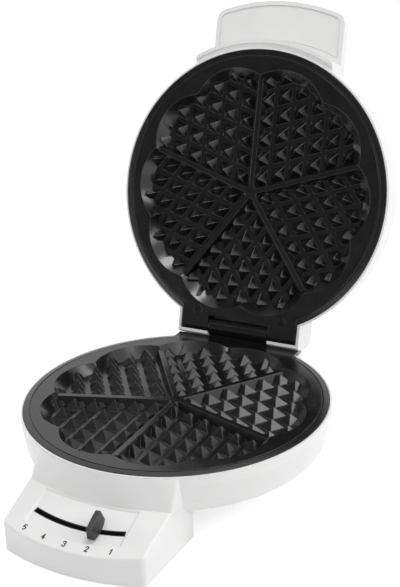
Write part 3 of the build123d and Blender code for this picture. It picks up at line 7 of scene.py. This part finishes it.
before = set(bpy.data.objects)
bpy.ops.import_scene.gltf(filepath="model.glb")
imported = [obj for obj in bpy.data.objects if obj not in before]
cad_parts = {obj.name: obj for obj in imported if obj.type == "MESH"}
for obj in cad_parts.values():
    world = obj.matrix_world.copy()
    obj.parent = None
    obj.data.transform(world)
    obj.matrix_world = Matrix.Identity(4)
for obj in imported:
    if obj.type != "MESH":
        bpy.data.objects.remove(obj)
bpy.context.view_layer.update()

# Base housing, block cover, lid housing and handle tray
# Injection-moulded white plastic with a soft gloss. The tool's fine texture breaks the highlights a
# little, and the walls are thick enough that the colour stays even.

MM_PER_METRE = 1000
NOISE_LOW = 0.3
NOISE_HIGH = 0.7
BEVEL_SAMPLES = 6
ROUGHNESS_SPREAD = 0.04
TOOL_TEXTURE_MM = 0.02
TOOL_TEXTURE_STRENGTH = 0.35


def new_material(name):
    """An empty node material with its shader, and the object coordinates that its patterns follow."""
    material = bpy.data.materials.new(name)
    material.use_nodes = True
    tree = material.node_tree
    shader = tree.nodes["Principled BSDF"]
    place = tree.nodes.new("ShaderNodeTexCoord").outputs["Object"]
    return material, tree, shader, place


def noise(tree, place, size_mm, detail=2.0, stretch=(1, 1, 1)):
    """Cloudy noise whose features are about this many millimetres across, stretched along the axes."""
    mapping = tree.nodes.new("ShaderNodeMapping")
    mapping.inputs["Scale"].default_value = [MM_PER_METRE / size_mm / s for s in stretch]
    tree.links.new(place, mapping.inputs["Vector"])
    cloud = tree.nodes.new("ShaderNodeTexNoise")
    cloud.inputs["Scale"].default_value = 1.0
    cloud.inputs["Detail"].default_value = detail
    tree.links.new(mapping.outputs["Vector"], cloud.inputs["Vector"])
    return cloud.outputs["Fac"]


def spread(tree, value, low, high):
    """The noise's middle range turned into values from low to high."""
    ramp = tree.nodes.new("ShaderNodeMapRange")
    ramp.inputs["From Min"].default_value = NOISE_LOW
    ramp.inputs["From Max"].default_value = NOISE_HIGH
    ramp.inputs["To Min"].default_value = low
    ramp.inputs["To Max"].default_value = high
    tree.links.new(value, ramp.inputs["Value"])
    return ramp.outputs["Result"]


def tint(tree, value, dark, light):
    """A colour between dark and light that follows a noise."""
    mix = tree.nodes.new("ShaderNodeMix")
    mix.data_type = "RGBA"
    mix.inputs["A"].default_value = (*dark, 1)
    mix.inputs["B"].default_value = (*light, 1)
    tree.links.new(spread(tree, value, 0, 1), mix.inputs["Factor"])
    return mix.outputs["Result"]


def relief(tree, value, height_mm, strength=1.0, under=None):
    """Bump of this height from a noise, over the normal under it if there is one."""
    bump = tree.nodes.new("ShaderNodeBump")
    bump.inputs["Distance"].default_value = height_mm / MM_PER_METRE
    bump.inputs["Strength"].default_value = strength
    tree.links.new(value, bump.inputs["Height"])
    if under:
        tree.links.new(under, bump.inputs["Normal"])
    return bump.outputs["Normal"]


def eased_edges(tree, radius_mm):
    """The normal of a surface whose sharp edges are rounded by this radius."""
    bevel = tree.nodes.new("ShaderNodeBevel")
    bevel.samples = BEVEL_SAMPLES
    bevel.inputs["Radius"].default_value = radius_mm / MM_PER_METRE
    return bevel.outputs["Normal"]


def finish(*nodes, material):
    """Gives these CAD nodes this material."""
    for node in nodes:
        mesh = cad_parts[node].data
        mesh.materials.clear()
        mesh.materials.append(material)


def moulded_plastic(name, dark, light, roughness, texture_mm, edge_mm):
    """Moulded plastic between two near colours, with a fine tool texture and eased edges."""
    material, tree, shader, place = new_material(name)
    shade = tint(tree, noise(tree, place, size_mm=40), dark, light)
    tree.links.new(shade, shader.inputs["Base Color"])
    cloud = noise(tree, place, size_mm=12)
    gloss = spread(tree, cloud, roughness - ROUGHNESS_SPREAD, roughness + ROUGHNESS_SPREAD)
    tree.links.new(gloss, shader.inputs["Roughness"])
    edges = eased_edges(tree, edge_mm)
    grain = noise(tree, place, texture_mm, detail=4)
    surface = relief(tree, grain, TOOL_TEXTURE_MM, TOOL_TEXTURE_STRENGTH, edges)
    tree.links.new(surface, shader.inputs["Normal"])
    return material


white_plastic = moulded_plastic(
    "white_plastic", dark=(0.80, 0.80, 0.795), light=(0.84, 0.84, 0.835),
    roughness=0.36, texture_mm=0.8, edge_mm=0.5,
)
finish("base_shell", "block_cover", "lid_shell", "handle_tray", material=white_plastic)

# Baking plates
# Die-cast aluminium with a black non-stick coating, sprayed on and baked. The coat is smooth and
# slightly glossy, runs thin on sharp edges and has a fine speckle.

COAT_DARK = (0.004, 0.004, 0.0043)
COAT_LIGHT = (0.007, 0.007, 0.0074)
COAT_ROUGHNESS = (0.20, 0.28)
COAT_SHINE = 0.6
SPECKLE_MM = 0.7
SPECKLE_RELIEF_MM = 0.03
SPECKLE_STRENGTH = 0.4
CAST_EDGE_MM = 0.7

coating, tree, shader, place = new_material("non_stick_coating")
speckle = noise(tree, place, SPECKLE_MM, detail=3)
coat_colour = tint(tree, noise(tree, place, size_mm=25), COAT_DARK, COAT_LIGHT)
tree.links.new(coat_colour, shader.inputs["Base Color"])
coat_gloss = spread(tree, noise(tree, place, size_mm=9), *COAT_ROUGHNESS)
tree.links.new(coat_gloss, shader.inputs["Roughness"])
shader.inputs["Specular IOR Level"].default_value = COAT_SHINE
cast_edges = eased_edges(tree, CAST_EDGE_MM)
coat_surface = relief(tree, speckle, SPECKLE_RELIEF_MM, SPECKLE_STRENGTH, cast_edges)
tree.links.new(coat_surface, shader.inputs["Normal"])
finish("lower_plate", "upper_plate", material=coating)

# Feet and cord gland
# Black rubber, pressed into holes of the housing.

rubber = moulded_plastic(
    "black_rubber", dark=(0.018, 0.018, 0.018), light=(0.03, 0.03, 0.03),
    roughness=0.62, texture_mm=0.5, edge_mm=0.3,
)
finish("front_feet", "rear_feet", "cord_gland", material=rubber)

# Slider knob, the scale's numbers and the slot's lining
# The knob is dark grey moulded plastic, the lining is black plastic and the numbers are printed in black.

knob_plastic = moulded_plastic(
    "dark_grey_plastic", dark=(0.018, 0.0185, 0.0195), light=(0.027, 0.0275, 0.029),
    roughness=0.42, texture_mm=0.5, edge_mm=0.5,
)
finish("slider_knob", material=knob_plastic)
lining_plastic = moulded_plastic(
    "black_lining", dark=(0.004, 0.004, 0.004), light=(0.007, 0.007, 0.007),
    roughness=0.7, texture_mm=0.6, edge_mm=0.2,
)
finish("slot_liner", material=lining_plastic)
black_ink = moulded_plastic(
    "black_ink", dark=(0.02, 0.02, 0.02), light=(0.035, 0.035, 0.035),
    roughness=0.6, texture_mm=0.3, edge_mm=0.02,
)
finish("scale_numbers", material=black_ink)

# Screws, pins, lever and brackets
# Zinc-plated steel, drawn or turned, so that fine lines run round or along it. The two screws beside
# the hinge's ears are blackened, as the plate round them is.

LINE_MM = 0.5
LINE_RELIEF_MM = 0.02
LINE_STRENGTH = 0.3
STEEL_ROUGHNESS_SPREAD = 0.08
STEEL_EDGE_MM = 0.15


def plated_steel(name, dark, light, roughness, stretch):
    """Plated steel with fine lines drawn along one axis."""
    material, tree, shader, place = new_material(name)
    shader.inputs["Metallic"].default_value = 1.0
    lines = noise(tree, place, LINE_MM, detail=3, stretch=stretch)
    shade = tint(tree, noise(tree, place, size_mm=5), dark, light)
    tree.links.new(shade, shader.inputs["Base Color"])
    gloss = spread(tree, lines, roughness - STEEL_ROUGHNESS_SPREAD, roughness + STEEL_ROUGHNESS_SPREAD)
    tree.links.new(gloss, shader.inputs["Roughness"])
    surface = relief(tree, lines, LINE_RELIEF_MM, LINE_STRENGTH, eased_edges(tree, STEEL_EDGE_MM))
    tree.links.new(surface, shader.inputs["Normal"])
    return material


screw_steel = plated_steel(
    "zinc_plated_steel", dark=(0.50, 0.50, 0.49), light=(0.62, 0.62, 0.61),
    roughness=0.34, stretch=(1, 1, 6),
)
finish(
    "block_cover_screws", "lower_plate_screws", "lower_element_screws", "lower_element_clamps",
    "thermostat_bracket", "thermostat_bracket_screws", "fuse_clip", "cord_clamp_screws", "spindle",
    "lever_nut", "handle_screws", "upper_element_clamps", "upper_element_screws",
    "upper_reflector_screws", "lens_rings",
    material=screw_steel,
)
dark_steel = plated_steel(
    "blackened_screw_steel", dark=(0.03, 0.03, 0.03), light=(0.06, 0.06, 0.06),
    roughness=0.42, stretch=(1, 1, 6),
)
finish("upper_plate_screws", material=dark_steel)
pin_steel = plated_steel(
    "bright_pin_steel", dark=(0.62, 0.62, 0.62), light=(0.72, 0.72, 0.72),
    roughness=0.26, stretch=(12, 1, 1),
)
finish("hinge_pin", "pin_rings", "thermal_fuse", material=pin_steel)
lever_steel = plated_steel(
    "lever_steel", dark=(0.45, 0.45, 0.44), light=(0.56, 0.56, 0.55),
    roughness=0.4, stretch=(1, 20, 1),
)
finish("lever", material=lever_steel)

# Heaters and reflectors
# The heater's tube is steel that the heat has browned, and each reflector is bright aluminised sheet.

heater_steel = plated_steel(
    "browned_heater_tube", dark=(0.20, 0.17, 0.14), light=(0.33, 0.30, 0.27),
    roughness=0.48, stretch=(1, 1, 1),
)
finish("lower_element", "upper_element", material=heater_steel)
reflector_sheet = plated_steel(
    "aluminised_sheet", dark=(0.66, 0.66, 0.65), light=(0.78, 0.78, 0.77),
    roughness=0.3, stretch=(1, 25, 1),
)
finish("lower_reflector", "upper_reflector", material=reflector_sheet)

# Regulator
# A drum of yellowish plated steel, drawn in one piece and held under the lower plate by its bracket.

drum_steel = plated_steel(
    "regulator_drum", dark=(0.50, 0.49, 0.45), light=(0.60, 0.59, 0.55),
    roughness=0.42, stretch=(1, 1, 8),
)
finish("thermostat", material=drum_steel)

# Terminal block and cord clamp
# Cream nylon and glass-filled plastic, matt and slightly mottled.

nylon = moulded_plastic(
    "cream_nylon", dark=(0.66, 0.62, 0.52), light=(0.74, 0.70, 0.60),
    roughness=0.55, texture_mm=0.6, edge_mm=0.3,
)
finish("terminal_block", "cord_clamp", material=nylon)

# Pilot lamps and their lenses
# Clear coloured plastic windows over small neon lamps.

CLOUD_SHADE = 0.85
CLOUD_ROUGHNESS = 0.06
CLEARNESS = 0.7
PLASTIC_IOR = 1.49


def clear_plastic(name, colour, roughness):
    """Clear coloured plastic, a little cloudy inside."""
    material, tree, shader, place = new_material(name)
    shade = tint(tree, noise(tree, place, size_mm=3), [c * CLOUD_SHADE for c in colour], colour)
    tree.links.new(shade, shader.inputs["Base Color"])
    gloss = spread(tree, noise(tree, place, size_mm=2), roughness, roughness + CLOUD_ROUGHNESS)
    tree.links.new(gloss, shader.inputs["Roughness"])
    shader.inputs["Transmission Weight"].default_value = CLEARNESS
    shader.inputs["IOR"].default_value = PLASTIC_IOR
    return material


finish("red_lens", material=clear_plastic("clear_red", colour=(0.75, 0.03, 0.02), roughness=0.1))
finish("green_lens", material=clear_plastic("clear_green", colour=(0.03, 0.55, 0.10), roughness=0.1))
finish("pilot_lamps", material=clear_plastic("lamp_glass", colour=(0.95, 0.80, 0.62), roughness=0.05))

# Floor and light
# A white floor and a white sky fill the picture, as in a light tent, with a soft lamp on the right, one
# above and a weak one low on the left, and the floor keeps the shadow. What mirrors the sky sees it
# darker towards the front left.

FLOOR_SIDE = 14.0
FLOOR_TINT = 0.86
FLOOR_ROUGHNESS = 0.9
FLOOR_LIFT = 0.55
SKY_LIGHT = 0.62
SKY_SHOWN = 1.0
DARK_SIDE = (-0.56, -0.82, 0.08)
DARK_LEVEL = 0.15
DARK_FROM = 0.15
DARK_TO = 0.8
LAMP_AIM = (0, 0.03, 0.12)

floor_mesh = bmesh.new()
bmesh.ops.create_grid(floor_mesh, x_segments=1, y_segments=1, size=FLOOR_SIDE / 2)
floor_data = bpy.data.meshes.new("floor")
floor_mesh.to_mesh(floor_data)
floor_mesh.free()
floor = bpy.data.objects.new("floor", floor_data)
bpy.context.collection.objects.link(floor)


def either(tree, first, second):
    """1 where one of two ray tests is 1."""
    larger = tree.nodes.new("ShaderNodeMath")
    larger.operation = "MAXIMUM"
    tree.links.new(first, larger.inputs[0])
    tree.links.new(second, larger.inputs[1])
    return larger.outputs["Value"]


def level(tree, value, low, high, at_low, at_high):
    """A value between low and high turned into one between at_low and at_high."""
    scale = tree.nodes.new("ShaderNodeMapRange")
    scale.inputs["From Min"].default_value = low
    scale.inputs["From Max"].default_value = high
    scale.inputs["To Min"].default_value = at_low
    scale.inputs["To Max"].default_value = at_high
    tree.links.new(value, scale.inputs["Value"])
    return scale.outputs["Result"]


floor_paint = bpy.data.materials.new("white_floor")
floor_paint.use_nodes = True
tree = floor_paint.node_tree
shader = tree.nodes["Principled BSDF"]
shader.inputs["Base Color"].default_value = (FLOOR_TINT, FLOOR_TINT, FLOOR_TINT, 1)
shader.inputs["Roughness"].default_value = FLOOR_ROUGHNESS
shader.inputs["Emission Color"].default_value = (1, 1, 1, 1)
rays = tree.nodes.new("ShaderNodeLightPath").outputs
shown = either(tree, either(tree, rays["Is Camera Ray"], rays["Is Glossy Ray"]), rays["Is Transmission Ray"])
tree.links.new(level(tree, shown, 0, 1, 0, FLOOR_LIFT), shader.inputs["Emission Strength"])
floor_data.materials.append(floor_paint)

world = bpy.data.worlds.new("studio")
world.use_nodes = True
bpy.context.scene.world = world
sky = world.node_tree
background = sky.nodes["Background"]
background.inputs["Color"].default_value = (1, 1, 1, 1)
rays = sky.nodes.new("ShaderNodeLightPath").outputs
direction = sky.nodes.new("ShaderNodeTexCoord").outputs["Generated"]
towards_dark = sky.nodes.new("ShaderNodeVectorMath")
towards_dark.operation = "DOT_PRODUCT"
towards_dark.inputs[1].default_value = DARK_SIDE
sky.links.new(direction, towards_dark.inputs[0])
mirrored = sky.nodes.new("ShaderNodeMix")
sky.links.new(rays["Is Glossy Ray"], mirrored.inputs["Factor"])
mirrored.inputs["A"].default_value = SKY_LIGHT
darkened = level(sky, towards_dark.outputs["Value"], DARK_FROM, DARK_TO, SKY_SHOWN, DARK_LEVEL)
sky.links.new(darkened, mirrored.inputs["B"])
shown = either(sky, rays["Is Camera Ray"], rays["Is Transmission Ray"])
strength = sky.nodes.new("ShaderNodeMix")
sky.links.new(shown, strength.inputs["Factor"])
sky.links.new(mirrored.outputs["Result"], strength.inputs["A"])
strength.inputs["B"].default_value = SKY_SHOWN
sky.links.new(strength.outputs["Result"], background.inputs["Strength"])


def soft_lamp(name, place, size, power):
    """A square soft lamp at this place, turned towards the waffle maker."""
    lamp_data = bpy.data.lights.new(name, "AREA")
    lamp_data.shape = "SQUARE"
    lamp_data.size = size
    lamp_data.energy = power
    lamp = bpy.data.objects.new(name, lamp_data)
    lamp.location = place
    aim = Vector(LAMP_AIM) - lamp.location
    lamp.rotation_euler = aim.to_track_quat("-Z", "Y").to_euler()
    bpy.context.collection.objects.link(lamp)


soft_lamp("right_lamp", place=(1.36, 0.05, 0.8), size=0.6, power=5.5)
soft_lamp("overhead_lamp", place=(0.35, 0.0, 1.5), size=0.45, power=6.5)
soft_lamp("left_lamp", place=(-1.2, -0.3, 0.25), size=0.4, power=2.5)

# Camera
# Its place, lens and roll were worked out from the two rims in the photograph.

CAMERA_PLACE = Vector((0.33370, -0.62725, 0.39789))
CAMERA_AIM = Vector((0.009952, -0.004682, 0.118220))
CAMERA_ROLL = math.radians(-2.242)
LENS_MM = 69.71
SENSOR_MM = 36.0

camera_data = bpy.data.cameras.new("camera")
camera_data.lens = LENS_MM
camera_data.sensor_width = SENSOR_MM
camera = bpy.data.objects.new("camera", camera_data)
aimed = (CAMERA_AIM - CAMERA_PLACE).to_track_quat("-Z", "Y").to_matrix()
turn = aimed @ Matrix.Rotation(CAMERA_ROLL, 3, "Z")
camera.matrix_world = Matrix.Translation(CAMERA_PLACE) @ turn.to_4x4()
bpy.context.collection.objects.link(camera)
bpy.context.scene.camera = camera
bpy.context.scene.view_settings.view_transform = "Standard"
